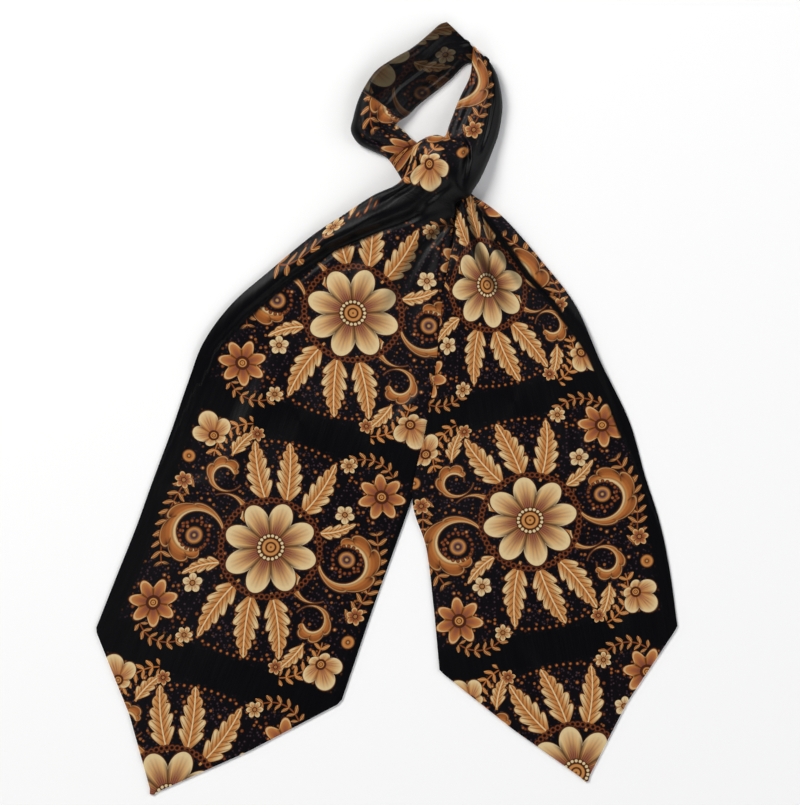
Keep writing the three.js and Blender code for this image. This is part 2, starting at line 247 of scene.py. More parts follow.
def beyond(path, x, y):
    """Distance from a path of points, positive on its left, and how far along it from 0 to 1."""
    best = np.full_like(x, 1e6)
    part = np.zeros_like(x)
    for i, ((ax, ay), (bx, by)) in enumerate(zip(path, path[1:])):
        dx, dy = bx - ax, by - ay
        t = np.clip(((x - ax) * dx + (y - ay) * dy) / (dx * dx + dy * dy), 0, 1)
        away_x, away_y = x - ax - t * dx, y - ay - t * dy
        away = np.hypot(away_x, away_y) * np.where(dx * away_y > dy * away_x, 1, -1)
        nearer = np.abs(away) < np.abs(best)
        best = np.where(nearer, away, best)
        part = np.where(nearer, (i + t) / (len(path) - 1), part)
    return best, part


def rolled_fold(path, x, y, rise, dip, first_share, last_share):
    """A roll of spare cloth on the left of a path, which drops steeply to a valley on it. The
    shares say how high it is at the path's first and last point."""
    away, part = beyond(path, x, y)
    ends = smooth(part, 0, 0.2) * (1 - smooth(part, 0.7, 1))
    high = first_share + (last_share - first_share) * smooth(part, 0.2, 0.8)
    roll = smooth(away, *ROLL_FRONT) * (1 - smooth(away, *ROLL_BACK))
    return ends * (rise * high * roll - dip * hump((away - VALLEY_MIDDLE) / VALLEY_HALF))


def crease_height(creases, at, u):
    """Rise or dip at u from creases, each a list of rows (place, u, height, half width)."""
    total = np.zeros_like(u)
    for crease in creases:
        places, *columns = zip(*crease)
        if not places[0] < at["place"] < places[-1]:
            continue
        middle, height, half = (np.interp(at["place"], places, column) for column in columns)
        total += height * hump((u - middle) * at["width"] / half)
    return total


def top_of(at, u):
    edges = at["outTop"] + (at["inTop"] - at["outTop"]) * u
    bulge = at["crown"] - (at["outTop"] + at["inTop"]) / 2
    return edges + bulge * (1 - np.abs(2 * u - 1) ** ROUNDNESS)


def edge_roll(at, u, roll, radius):
    """How far the cloth turns down where it goes round the edge of a bundle."""
    from_edge = np.minimum(u, 1 - u) * at["width"]
    near = np.clip(1 - from_edge / radius, 0, 1)
    return roll * (1 - np.sqrt(np.maximum(0, 1 - near ** 2)))


def girth(points):
    """How far each point of a cross-section is from its middle, followed along the cloth."""
    steps = np.linalg.norm(np.diff(points, axis=0), axis=1)
    run = np.concatenate(([0], np.cumsum(steps)))
    return run - run[-1] / 2


def lay(name, rows, corner, span, counts, height, print_at, material, thickness=CLOTH, reach=None,
        show=None):
    """A sheet through the sections from span[0] to span[1], its print on the map 'cloth'.
    height(at, u, x, y) is its upper face, and print_at(at, u, x, y) the place on the cloth.
    reach(at) gives the first and last u of a sheet that isn't as wide as the section, and
    show(at, u, x, y) how strong the print is: on the reverse it is duller, partly as painted
    shade, and in crease valleys and deep gathers it fades towards black as painted shade."""
    along, across = counts
    places = np.linspace(span[0], span[1], along + 1)
    steps = np.linspace(0, 1, across + 1)
    steps = EVEN_SHARE * steps + EDGE_SHARE * (1 - np.cos(np.pi * steps)) / 2
    points = np.empty((along + 1, across + 1, 3))
    marks = np.empty((along + 1, across + 1, 2))
    strength = np.ones((along + 1, across + 1))
    for i, place in enumerate(places):
        at = section(rows, place, corner)
        first, last = reach(at) if reach else (0, 1)
        u = first + (last - first) * steps
        x = at["out"][0] + (at["in"][0] - at["out"][0]) * u
        y = at["out"][1] + (at["in"][1] - at["out"][1]) * u
        points[i] = np.stack((x, y, height(at, u, x, y)), axis=1)
        at["girth"] = girth(points[i])
        marks[i] = np.stack(print_at(at, u, x, y), axis=1)
        if show:
            strength[i] = show(at, u, x, y)
    bm = bmesh.new()
    bmesh.ops.create_grid(bm, x_segments=across, y_segments=along, size=0.5)
    bm.verts.ensure_lookup_table()
    uv = bm.loops.layers.uv.new("cloth")
    shown = bm.verts.layers.float.new("print_strength_and_painted_shade")
    index = {}
    for vert in bm.verts:
        i = round((vert.co.y + 0.5) * along)
        j = round((vert.co.x + 0.5) * across)
        index[vert] = (i, j)
        vert.co = Vector(points[i, j]) * MM
        vert[shown] = strength[i, j]
    for face in bm.faces:
        face.smooth = True
        for loop in face.loops:
            loop[uv].uv = marks[index[loop.vert]] * MM
    bmesh.ops.recalc_face_normals(bm, faces=bm.faces)
    if sum(face.normal.z for face in bm.faces) < 0:
        bmesh.ops.reverse_faces(bm, faces=bm.faces)
    piece = finished_object(name, bm, material)
    wall = piece.modifiers.new("wall", "SOLIDIFY")
    wall.thickness = thickness * MM
    wall.offset = -1
    rim = piece.modifiers.new("rim", "BEVEL")
    rim.width = RIM_SHARE * thickness * MM
    rim.segments = 2
    rim.limit_method = "ANGLE"
    rim.angle_limit = math.radians(60)
    rim.harden_normals = True
    across_cut, along_cut = marks[1:, 1:] - marks[:-1, :-1], marks[1:, :-1] - marks[:-1, 1:]
    turned = across_cut[..., 0] * along_cut[..., 1] - across_cut[..., 1] * along_cut[..., 0]
    return piece, abs(float(turned.sum())) / 2 * MM * MM


# The print. Folk flowers in cream, gold and orange on black satin, in one column of square
# blocks down the middle of the cloth. A block looks the same turned half round, so only one
# half is drawn, in millimetres from the block's middle. Each motif is a formula.
BLOCK_PITCH = 172
BLOCK_HALF = 77
TURN_LINE = math.radians(25)
INK_EDGE = 0.4
INK_DEPTH = 0.65
WAIT = 1e-7


def ink(red, green, blue):
    return tuple(INK_DEPTH * (value / 255) ** 2.2 for value in (red, green, blue)) + (1,)


BLACK = ink(12, 12, 16)
DUSK = ink(34, 26, 32)
PLUM = ink(96, 72, 82)
BROWN = ink(84, 44, 30)
RUST = ink(152, 82, 44)
ORANGE = ink(200, 118, 60)
GOLD = ink(222, 151, 84)
STRAW = ink(240, 187, 120)
CREAM = ink(253, 224, 168)
MAUVE = ink(150, 94, 86)

silk = plain_material("printed_silk", BLACK[:3], 0.42)
tree = silk.node_tree


class Field:
    """A number that the material works out at every point of the cloth."""

    def __init__(self, socket):
        self.socket = socket

    def __add__(self, other):
        return maths("ADD", self, other)

    def __sub__(self, other):
        return maths("SUBTRACT", self, other)

    def __rsub__(self, other):
        return maths("SUBTRACT", other, self)

    def __mul__(self, other):
        return maths("MULTIPLY", self, other)

    def __truediv__(self, other):
        return maths("DIVIDE", self, other)

    def __pow__(self, power):
        return maths("POWER", self, power)

    __radd__ = __add__
    __rmul__ = __mul__


def wire(value, socket):
    if isinstance(value, Field):
        tree.links.new(value.socket, socket)
    else:
        socket.default_value = value


def maths(operation, *values, clamp=False):
    node = tree.nodes.new("ShaderNodeMath")
    node.operation = operation
    node.use_clamp = clamp
    for value, socket in zip(values, node.inputs):
        wire(value, socket)
    return Field(node.outputs[0])


def size_of(value):
    return maths("ABSOLUTE", value)


def wave(value):
    return maths("SINE", value)


def inside(depth, edge=INK_EDGE):
    """1 where depth is above zero, with a narrow soft edge."""
    return maths("MULTIPLY_ADD", depth, 1 / edge, 0.5, clamp=True)


def line(distance, half):
    return inside(half - size_of(distance))


def folded(value, period):
    """Distance to the nearest whole multiple of the period."""
    return maths("PINGPONG", value, period / 2)


def both(*masks):
    total = masks[0]
    for mask in masks[1:]:
        total = total * mask
    return total


def paint(under, mask, colour):
    node = tree.nodes.new("ShaderNodeMix")
    node.data_type = "RGBA"
    wire(mask, node.inputs["Factor"])
    for value, socket in ((under, node.inputs["A"]), (colour, node.inputs["B"])):
        wire(value, socket)
    return Field(node.outputs["Result"])


def shades(value, *stops):
    """A colour for each value, from stops of (value, colour)."""
    node = tree.nodes.new("ShaderNodeValToRGB")
    wire(value, node.inputs["Fac"])
    for stop in stops[2:]:
        node.color_ramp.elements.new(stop[0])
    for element, stop in zip(node.color_ramp.elements, stops):
        element.position, element.color = stop
    return Field(node.outputs["Color"])


def moved(under, where, at, turn=0):
    """The two coordinates about a motif's own middle, its x axis turned by so many degrees.
    They wait for the print under the motif, because Cycles can hold only a few values at once."""
    wait = tree.nodes.new("ShaderNodeVectorMath")
    wait.operation = "MULTIPLY_ADD"
    wire(under, wait.inputs[0])
    wait.inputs[1].default_value = (WAIT, WAIT, WAIT)
    wire(where, wait.inputs[2])
    where = Field(wait.outputs["Vector"])
    node = tree.nodes.new("ShaderNodeMapping")
    node.vector_type = "TEXTURE"
    wire(where, node.inputs["Vector"])
    node.inputs["Location"].default_value = (*at, 0)
    node.inputs["Rotation"].default_value = (0, 0, math.radians(turn))
    split = tree.nodes.new("ShaderNodeSeparateXYZ")
    tree.links.new(node.outputs["Vector"], split.inputs["Vector"])
    return Field(split.outputs["X"]), Field(split.outputs["Y"])


def joined(x, y):
    node = tree.nodes.new("ShaderNodeCombineXYZ")
    wire(x, node.inputs["X"])
    wire(y, node.inputs["Y"])
    return Field(node.outputs["Vector"])


def polar(x, y):
    return (x * x + y * y) ** 0.5, maths("ARCTAN2", y, x)


def dots(under, where, size, radius, strength, colour, mask):
    """A scatter of small round dots, one in each cell of an uneven grid."""
    node = tree.nodes.new("ShaderNodeTexVoronoi")
    node.inputs["Scale"].default_value = 1 / size
    node.inputs["Randomness"].default_value = 0.85
    wire(where, node.inputs["Vector"])
    dot = inside(radius - Field(node.outputs["Distance"]) * size, 0.5)
    return paint(under, both(dot, mask) * strength, colour)


def leaf(under, where, at, turn, length, width, bend, lobes):
    """A lobed leaf with a midrib, side veins and a pale rim, on a bent stem."""
    x, y = moved(under, where, at, turn)
    u = x / length
    y = y - x * x * bend
    side = size_of(y)
    slant = (u - side * (0.9 / length)) * lobes
    lobe = size_of(wave(slant * math.pi)) ** 0.8
    swell = maths("MAXIMUM", u * (1 - u) * 4, 0.0) ** 0.7
    half = swell * (lobe * 0.4 + 0.6) * width * (1.3 - u * 0.6)
    depth = half - side - INK_EDGE
    veins = folded(u - side * (1.3 / length), 0.5 / lobes) * lobes * 4
    tone = side / width + veins * 0.16
    colour = shades(tone, (0.0, BROWN), (0.13, ORANGE), (0.42, GOLD), (0.85, CREAM))
    colour = paint(colour, inside(0.16 - veins, 0.3) * 0.75, BROWN)
    colour = paint(colour, inside(0.2 - lobe, 0.3) * inside(side - width * 0.3, 1) * 0.7, BROWN)
    colour = paint(colour, inside(0.45 - side), CREAM)
    colour = paint(colour, inside(0.7 - depth) * 0.75, STRAW)
    stem = both(inside(0.8 - side), inside(0.1 - u, 0.02), inside(u + 0.05, 0.02))
    under = paint(under, both(inside(depth + 0.8), inside(half - 0.5)), BROWN)
    under = paint(under, stem, GOLD)
    return paint(under, inside(depth), colour)


def scroll(under, where, at, turn, radius, width, reach, curl, mirror=1):
    """A leaf rolled into a spiral: a thin stem that swells to a frilled, rolled-in head."""
    x, y = moved(under, where, at, turn)
    r, angle = polar(x, y * mirror)
    a = angle / (2 * reach) + 0.5
    away = r - radius * (1 - a * curl)
    swell = both(maths("MAXIMUM", a, 0.0) ** 1.1, maths("MAXIMUM", 1 - a, 0.0) ** 0.45) * 1.75
    frill = size_of(wave(angle * 3.2 - away * 0.22)) ** 0.6
    outer = both(inside(away, 0.6), inside(a - 0.3, 0.3))
    half = (swell * width) * (1 + (frill * 1.1 - 0.15) * outer)
    depth = half - size_of(away)
    band = away / (swell * width + 0.6)
    tone = band * 0.5 + 0.5
    colour = shades(tone, (0.02, BROWN), (0.18, CREAM), (0.4, GOLD), (0.68, ORANGE), (0.92, BROWN))
    colour = paint(colour, line(folded(band - a * 0.5, 0.62), 0.045) * 0.75, BROWN)
    colour = paint(colour, both(outer, inside(0.3 - frill, 0.3)) * 0.7, BROWN)
    colour = paint(colour, both(outer, inside(frill - 0.7, 0.4)) * 0.6, ORANGE)
    colour = paint(colour, inside(0.6 - depth) * 0.6, STRAW)
    under = paint(under, inside(depth + 0.8), BROWN)
    return paint(under, inside(depth), colour)


def flower(under, where, at, turn, radius, petals, colours, pinch, rays, lean=0):
    """Round petals, dark where they meet, with rays and a ringed middle. A flower that leans
    has longer petals on one side, as a half-open bud has."""
    x, y = moved(under, where, at, turn)
    r, angle = polar(x, y)
    petal = size_of(maths("COSINE", angle * (petals / 2)))
    rim = (petal ** pinch * 0.4 + 0.6) * radius
    if lean:
        rim = rim * (maths("COSINE", angle) * lean + 1)
    t = r / rim
    ray = wave(angle * rays) * 0.5 + 0.5
    tone = t + ray * 0.28 * (1 - t)
    colour = shades(tone, *zip((0.22, 0.45, 0.72, 0.95), colours))
    flame = both(inside(petal - 0.45 - t * 0.5, 0.5), inside(0.8 - t, 0.5))
    colour = paint(colour, both(flame, ray) * 0.8, MAUVE)
    colour = paint(colour, both(inside(0.32 - petal, 0.5), inside(0.97 - t, 0.1)) * 0.9, colours[0])
    colour = paint(colour, both(inside(0.8 - size_of(t - 0.94) * 20), inside(petal - 0.3)) * 0.5, CREAM)
    middle = shades(folded(r, radius * 0.1) * (20 / radius), (0.2, BROWN), (0.6, GOLD))
    colour = paint(colour, inside(0.3 * radius - r), BROWN)
    colour = paint(colour, inside(radius * 0.2 - r), middle)
    under = paint(under, inside((1.05 - t) * radius), BROWN)
    return paint(under, inside((1 - t) * radius), colour)


def beads(under, where, at, turn, radius, reach, gap, size, colour):
    """Berries along an arc, gap degrees apart."""
    x, y = moved(under, where, at, turn)
    r, angle = polar(x, y)
    along = folded(angle, math.radians(gap)) * radius
    away = ((r - radius) ** 2 + along * along) ** 0.5
    ends = inside(math.radians(reach) - size_of(angle), 0.02)
    under = paint(under, inside(size + 0.5 - away) * ends, BROWN)
    return paint(under, inside(size - away) * ends, colour)


def laurel(under, where, at, turn, radius, reach, gap, length, width, colour):
    """Small leaves in pairs along a thin stem that follows an arc."""
    x, y = moved(under, where, at, turn)
    r, angle = polar(x, y)
    side = size_of(r - radius)
    step = math.radians(gap)
    along = (maths("FLOORED_MODULO", angle - side * (0.6 / radius), step) - step / 2) * radius
    u = side / length
    half = maths("MAXIMUM", u * (1 - u) * 4, 0.0) ** 0.6 * width
    ends = inside(math.radians(reach) - size_of(angle), 0.03)
    depth = half - size_of(along) - INK_EDGE
    tone = shades(size_of(along) / width, (0.05, STRAW), (0.2, colour), (0.9, GOLD))
    under = paint(under, both(inside(0.4 - side), ends), colour)
    return paint(under, both(inside(depth), ends), tone)


def button(under, where, at, radius, colour):
    """A small disc of rings."""
    r, _ = polar(*moved(under, where, at))
    rings = shades(r / radius, (0.0, STRAW), (0.25, BROWN), (0.4, colour), (0.7, GOLD), (0.95, BROWN))
    return paint(under, inside(radius - r), rings)


cloth_map = tree.nodes.new("ShaderNodeUVMap")
cloth_map.uv_map = "cloth"
in_mm = tree.nodes.new("ShaderNodeVectorMath")
in_mm.operation = "SCALE"
in_mm.inputs["Scale"].default_value = 1000
tree.links.new(cloth_map.outputs["UV"], in_mm.inputs[0])
on_cloth = Field(in_mm.outputs["Vector"])
split = tree.nodes.new("ShaderNodeSeparateXYZ")
tree.links.new(in_mm.outputs["Vector"], split.inputs["Vector"])
across, along = Field(split.outputs["X"]), Field(split.outputs["Y"])
from_block = maths("WRAP", along, BLOCK_PITCH / 2, -BLOCK_PITCH / 2)
half_turn = maths("SIGN", across * math.sin(TURN_LINE) + from_block * math.cos(TURN_LINE))
half_x, half_y = across * half_turn, from_block * half_turn
block = joined(half_x, half_y)

in_block = inside(BLOCK_HALF - 4 - maths("MAXIMUM", size_of(half_x), size_of(half_y)), 6)
cover = paint(BLACK, in_block * 0.2, DUSK)
cover = dots(cover, block, 2.4, 0.62, 0.6, PLUM, in_block)
shifted = joined(half_x + 31.7, half_y + 12.9)
cover = dots(cover, shifted, 6.4, 1.3, 0.75, RUST, in_block)
cover = dots(cover, shifted, 6.4, 0.6, 0.9, STRAW, in_block)
cover = dots(cover, joined(half_x + 90.3, half_y + 47.1), 4.6, 0.9, 0.7, ORANGE, in_block)
cover = laurel(cover, block, (0, 0), 2, 71, 26, 5.5, 6.5, 1.9, RUST)
cover = laurel(cover, block, (-30, 52), 150, 26, 42, 13, 5.5, 1.8, ORANGE)
cover = laurel(cover, block, (46, 60), 100, 20, 58, 17, 5, 1.7, RUST)
cover = beads(cover, block, (0, 0), 90, 73, 44, 3.6, 0.7, ORANGE)
cover = scroll(cover, block, (-44, 37), 165, 11.5, 3.6, 2.5, 0.45, -1)
cover = scroll(cover, block, (51, 8), -25, 20, 5.4, 2.7, 0.4)
cover = scroll(cover, block, (-34, 11), 20, 15, 3.4, 1.7, 0.5, -1)
cover = leaf(cover, block, (27, 20), 18, 25, 5.0, 0.012, 4)
cover = leaf(cover, block, (-44, 52), 78, 22, 5.2, -0.01, 4)
cover = leaf(cover, block, (-13, 29), 128, 42, 8.4, -0.004, 5)
cover = leaf(cover, block, (0, 32), 98, 42, 8.8, 0.003, 5)
cover = leaf(cover, block, (12, 28), 64, 42, 8.4, 0.005, 5)
cover = flower(cover, block, (58, 58), 10, 16, 7, (BROWN, RUST, ORANGE, GOLD), 1.5, 49)
cover = flower(cover, block, (-60, 60), 128, 12, 5, (RUST, GOLD, STRAW, CREAM), 0.6, 35, 0.45)
cover = flower(cover, block, (39, 38), 0, 6.5, 5, (RUST, STRAW, CREAM, CREAM), 0.8, 25)
cover = flower(cover, block, (31, 71), 20, 5.5, 6, (BROWN, GOLD, STRAW, CREAM), 1.0, 24)
cover = flower(cover, block, (-33, 71), 0, 5, 6, (BROWN, RUST, ORANGE, STRAW), 1.0, 24)
cover = flower(cover, block, (69, -24), 0, 6, 6, (BROWN, RUST, ORANGE, STRAW), 1.0, 24)
cover = button(cover, block, (-71, 41), 4.6, ORANGE)
cover = button(cover, block, (50, 9), 6, PLUM)
cover = beads(cover, block, (50, 9), 0, 9.5, 180, 20, 0.8, RUST)
cover = beads(cover, block, (0, 0), 0, 32.4, 180, 6, 1.7, RUST)
cover = beads(cover, block, (0, 0), 0, 32.4, 180, 6, 0.9, BLACK)
cover = flower(cover, block, (0, 0), 0, 31, 8, (BROWN, RUST, STRAW, CREAM), 0.7, 56)
cover = beads(cover, block, (0, 0), 0, 7.8, 180, 20, 1.0, CREAM)
# Where this attribute is below 1 the print fades to the black ground: on the reverse of the loop,
# partly as painted shade, where the cloth bunches, and as painted shade in the shoulders' valleys and
# deep gathers.
print_strength_and_painted_shade = tree.nodes.new("ShaderNodeAttribute")
print_strength_and_painted_shade.attribute_name = "print_strength_and_painted_shade"
cover = paint(BLACK, Field(print_strength_and_painted_shade.outputs["Fac"]), cover)
shader = tree.nodes["Principled BSDF"]
tree.links.new(cover.socket, shader.inputs["Base Color"])

# The satin itself: fine streaks along the warp in its shine, soft puckers and a slight weave.
# Every piece of the cravat is the same cloth, so they all have this one material.
SATIN_ROUGHNESS = 0.44
STREAK = (0.9, 0.03, 1)
PUCKER = (0.16, 0.035, 1)
WEAVE = 1.1
STREAK_ROUGHNESS = 0.16
PUCKER_RISE, STREAK_RISE, WEAVE_RISE = 0.9, 0.12, 0.02


def cloth_noise(scale, detail):
    stretch = tree.nodes.new("ShaderNodeVectorMath")
    stretch.operation = "MULTIPLY"
    wire(on_cloth, stretch.inputs[0])
    stretch.inputs[1].default_value = scale
    noise = tree.nodes.new("ShaderNodeTexNoise")
    noise.inputs["Scale"].default_value = 1
    noise.inputs["Detail"].default_value = detail
    tree.links.new(stretch.outputs["Vector"], noise.inputs["Vector"])
    return Field(noise.outputs["Fac"])


streaks = cloth_noise(STREAK, 3)
puckers = cloth_noise(PUCKER, 3)
weave = both(wave(across * (math.pi / WEAVE)), wave(along * (math.pi / WEAVE)))
rough = maths("MULTIPLY_ADD", streaks, STREAK_ROUGHNESS, SATIN_ROUGHNESS - STREAK_ROUGHNESS / 2)
tree.links.new(rough.socket, shader.inputs["Roughness"])
bump = tree.nodes.new("ShaderNodeBump")
bump.inputs["Strength"].default_value = 0.35
bump.inputs["Distance"].default_value = MM
wire(puckers * PUCKER_RISE + streaks * STREAK_RISE + weave * WEAVE_RISE, bump.inputs["Height"])
tree.links.new(bump.outputs["Normal"], shader.inputs["Normal"])
shader.inputs["Specular IOR Level"].default_value = 0.12
shader.inputs["Sheen Weight"].default_value = 0.015
shader.inputs["Sheen Roughness"].default_value = 0.4
shader.inputs["Anisotropic"].default_value = 0.3

# The upper limb, one piece from the fold at the top of the loop to the left blade's point.
# A roll of spare cloth runs from the crossing along the blade's shoulder, and its plain black
# border stands over a valley, where the print is faded to black as painted shade.
LEFT_SHOULDER = [(-124, 18), (-113, 42), (-94, 62), (-70, 82), (-37, 107), (9, 126), (50, 140)]
SHOULDER_RISE, SHOULDER_DIP = 4.6, 2.6
LEFT_RIDGES = [
    [(44, 124, -2.4, 5), (25, 108, -3.4, 6), (4, 76, -1.6, 8), (-8, 50, 0, 10)],
    [(38, 116, 0.8, 5), (34, 92, 1.8, 7), (24, 60, 0.8, 9), (16, 30, 0, 10)],
    [(10, 112, 0, 5), (-16, 88, 1.6, 8), (-40, 50, 0.8, 11), (-54, 20, 0, 12)],
    [(-6, 108, 0, 4), (-34, 90, -1.4, 6), (-60, 62, -0.8, 8), (-76, 36, 0, 9)],
    [(-62, 52, 0, 12), (-92, -10, 2.2, 14), (-118, -70, 0, 14)],
    [(-152, -60, 0, 8), (-122, -50, 1.2, 9), (-90, -50, 0, 8)],
    [(-60, -100, 0, 7), (-42, -130, 1.4, 9), (-32, -162, 0, 8)],
    [(-132, -130, 0, 9), (-121, -166, 1.3, 10), (-112, -202, 0, 9)],
    [(-20, -10, 0, 8), (-4, -30, 1.6, 9), (8, -52, 0, 9)],
    [(-24, 50, 0, 6), (-8, 40, -2.2, 7), (12, 30, -2.8, 8), (30, 18, -1.6, 7), (38, 8, 0, 6)],
    [(-16, 62, 0, 6), (2, 52, 2.0, 7), (20, 42, 2.6, 7), (36, 34, 1.2, 6), (42, 30, 0, 5)],
    [(34, 14, 0, 6), (20, 6, 2.0, 7), (8, -8, 1.4, 8), (-2, -24, 0, 8)],
    [(-70, -60, 0, 14), (-84, -120, 1.7, 16), (-104, -180, 0, 16)],
]
OVER_CREASES = [
    [(4.6, 0.3, 0, 3), (5.4, 0.5, -3.0, 3.6), (6.4, 0.66, -4.2, 4.4), (7.6, 0.78, -2.2, 4.6),
     (8.8, 0.84, 0, 5)],
    [(0, 0.66, -1.2, 3), (2.5, 0.7, -2.6, 3.4), (5, 0.74, -1.4, 3), (6, 0.8, 0, 3)],
    [(0.4, 0.34, 0, 3), (2, 0.3, -1.4, 3.2), (4, 0.22, -0.8, 3), (5, 0.2, 0, 3)],
    [(1, 0.5, 0, 3), (3, 0.5, 1.2, 4), (4.6, 0.46, 0, 3)],
    [(7.4, 0.1, 0, 3), (8.6, 0.16, -2.0, 3.4), (10.4, 0.2, -2.6, 4.4), (11.8, 0.22, 0, 6)],
    [(6.6, 0.34, 0, 4), (8, 0.4, 1.4, 5), (9.6, 0.44, 0.8, 6), (10.6, 0.44, 0, 6)],
    [(8.6, 0.66, 0, 4), (10, 0.62, -2.4, 5), (11.6, 0.6, -2.0, 7), (13, 0.58, 0, 9)],
]
HEM = np.array([(11, 10), (13, 18), (14, 21), (15, 19), (16, 12), (17, 8)])
HEM_START, HEM_END = 12.3, 16.2
HEM_CLEAR, HEM_SLOPE = 3, 8
HEM_RISES = (HEM_START - 1.2, HEM_START - 0.2)
HEM_FALLS = (HEM_END, HEM_END + 1)
HEM_GAP = 0.15
ABOVE_TABLE = 0.05
ROLL_RADIUS = 3.2
OVER_BLADE = (10, 12)
OVER_SHOULDER = (9, 11)
OVER_EDGE_ROLL = ((0, 4.2), (9, 4.0), (12, 2.4), (14, 0))


def hem_lift(at, u):
    hem = np.interp(at["place"], HEM[:, 0], HEM[:, 1])
    start = hem + HEM_CLEAR
    over = 1 - smooth(u * at["width"], start, start + HEM_SLOPE)
    along = smooth(at["place"], *HEM_RISES) * (1 - smooth(at["place"], *HEM_FALLS))
    return (CLOTH + HEM_GAP) * over * along


def over_height(at, u, x, y):
    raised = hem_lift(at, u)
    on_blade = smooth(at["place"], *OVER_BLADE)
    top = top_of(at, u) + raised + crease_height(OVER_CREASES, at, u)
    top += on_blade * sum(ridge_height(path, x, y) for path in LEFT_RIDGES)
    shoulder = rolled_fold(LEFT_SHOULDER, x, y, SHOULDER_RISE, SHOULDER_DIP, 0.2, 1)
    top += smooth(at["place"], *OVER_SHOULDER) * shoulder
    roll = np.interp(at["place"], *np.transpose(OVER_EDGE_ROLL))
    top -= edge_roll(at, u, roll, ROLL_RADIUS)
    return np.maximum(top - SUNK, CLOTH + ABOVE_TABLE + raised)


def along_centre(rows, corner, start, end):
    """Places from start to end, and how far each is from start along the middle of the limb."""
    places = np.linspace(start, end, 60)
    middles = [section(rows, place, corner) for place in places]
    middles = np.array([(at["out"] + at["in"]) / 2 for at in middles])
    steps = np.hypot(*np.diff(middles, axis=0).T)
    return places, np.concatenate(([0], np.cumsum(steps)))


# The left blade's block, with the cloth's own directions there.
LEFT_BLOCK = np.array((-76.2, -91.4))
LEFT_UP = np.array((0.331, 0.944))
LEFT_STRETCH_ABOVE, LEFT_STRETCH_BELOW = BLOCK_PITCH / 163.6, BLOCK_PITCH / 178.5
LEFT_BEND = 9.6
OVER_START = 257
OVER_SHIFT = ((0, 70), (10.1, 70), (10.9, 14))
HIDDEN_IN_FOLD = 400
LEFT_PRINT_ON_BLADE = (9.5, 12.5)
# The valley under the shoulder's roll, where the print fades to black as painted shade.
LEFT_VALLEY, LEFT_VALLEY_FADE = -2.2, (1.6, 3.2)
BUNCHED_FROM, BUNCHED_TO = (9.85, 10.1), (11, 11.4)
# Deep in a gather the print is dulled towards black, by up to GATHER_SHADE, as painted shade.
GATHER_DEPTH = 2.2
GATHER_SHADE = 0.75
OVER_PLACES, OVER_RUN = along_centre(OVER, OVER_CORNER, 0, 11)


def left_print(at, u, x, y):
    px, py = x - LEFT_BLOCK[0], y - LEFT_BLOCK[1]
    v = px * LEFT_UP[0] + py * LEFT_UP[1]
    v = v * np.where(v > 0, LEFT_STRETCH_ABOVE, LEFT_STRETCH_BELOW)
    blade = px * LEFT_UP[1] - py * LEFT_UP[0] + LEFT_BEND * np.clip(-v / BLOCK_PITCH, 0, 1.4)
    run = OVER_START + OVER_RUN[-1] - np.interp(at["place"], OVER_PLACES, OVER_RUN)
    loop = at["girth"] + np.interp(at["place"], *np.transpose(OVER_SHIFT))
    away, part = beyond(LEFT_SHOULDER, x, y)
    spread = 0.2 + 1.2 * smooth(part, 0.35, 0.7)
    border = 1.5 * BLOCK_PITCH + np.where(away > -2, spread * away, (away + 2) * HIDDEN_IN_FOLD)
    on_blade = smooth(at["place"], *LEFT_PRINT_ON_BLADE)
    return loop + (blade - loop) * on_blade, run + (np.maximum(v, border) - run) * on_blade


def in_gathers(paths, x, y):
    """How deep in a gather each point is, from 0 to 1."""
    depth = -np.minimum.reduce([ridge_height(path, x, y) for path in paths])
    return np.clip(depth / GATHER_DEPTH, 0, 1)


def left_show(at, u, x, y):
    """The print fades to black deep in the shoulder's valley, as painted shade, and where the cloth
    bunches below the crossing; deep in the gathers it is dulled, also as painted shade."""
    away, _ = beyond(LEFT_SHOULDER, x, y)
    in_valley = 1 - smooth(np.abs(away - LEFT_VALLEY), *LEFT_VALLEY_FADE)
    painted_valley_shade = 1 - smooth(at["place"], *OVER_BLADE) * in_valley
    bunched = smooth(at["place"], *BUNCHED_FROM) * (1 - smooth(at["place"], *BUNCHED_TO))
    return painted_valley_shade * (1 - bunched) * (1 - GATHER_SHADE * in_gathers(LEFT_RIDGES[:1], x, y))


def layer_reach(inset):
    return lambda at: (inset / at["width"], 1 - inset / at["width"])


def layer_height(share, roll):
    """A sheet folded away inside a bundle, at a share of the bundle's own height."""
    def height(at, u, x, y):
        top = at["lift"] + (top_of(at, u) - at["lift"]) * share
        top = top - SUNK - edge_roll(at, u, roll, ROLL_RADIUS)
        return np.maximum(top, at["lift"] + CLOTH + ABOVE_TABLE)
    return height


def plain_border(at, u, x, y):
    return -BLOCK_HALF - 4 - 0.3 * u * at["width"], at["place"] * 12 + 0 * u


over_limb, over_cut = lay("over_limb", OVER, OVER_CORNER, (0, OVER_TIP), (330, 80), over_height,
                          left_print, silk, show=left_show)
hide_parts("neck_loop_right", "knot_fall", "left_blade")
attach(over_limb, "root")

# The folds inside the upper limb where it is gathered. Only their edges show, one under the
# other at the sides of the loop and of the crossing.
FOLD_START = 0.1
OVER_LAYERS = (
    ("over_fold_upper", 0.7, 0.7, 11.6, 0.128),
    ("over_fold_lower", 0.38, 1.5, 11.2, 0.122),
)
for name, share, inset, end, length in OVER_LAYERS:
    layer, _ = lay(name, OVER, OVER_CORNER, (FOLD_START, end), (110, 14), layer_height(share, 2.2),
                   plain_border, silk, reach=layer_reach(inset))
    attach(layer, "root")

# The left blade's outer margin, turned under along the shoulder. It lies on the table with
# its face down, and only the plain black border of the cloth is in it.
MARGIN_START, MARGIN_END = 12.35, 16.15
MARGIN_BACK = 0.8
MARGIN_TAPER = 0.8


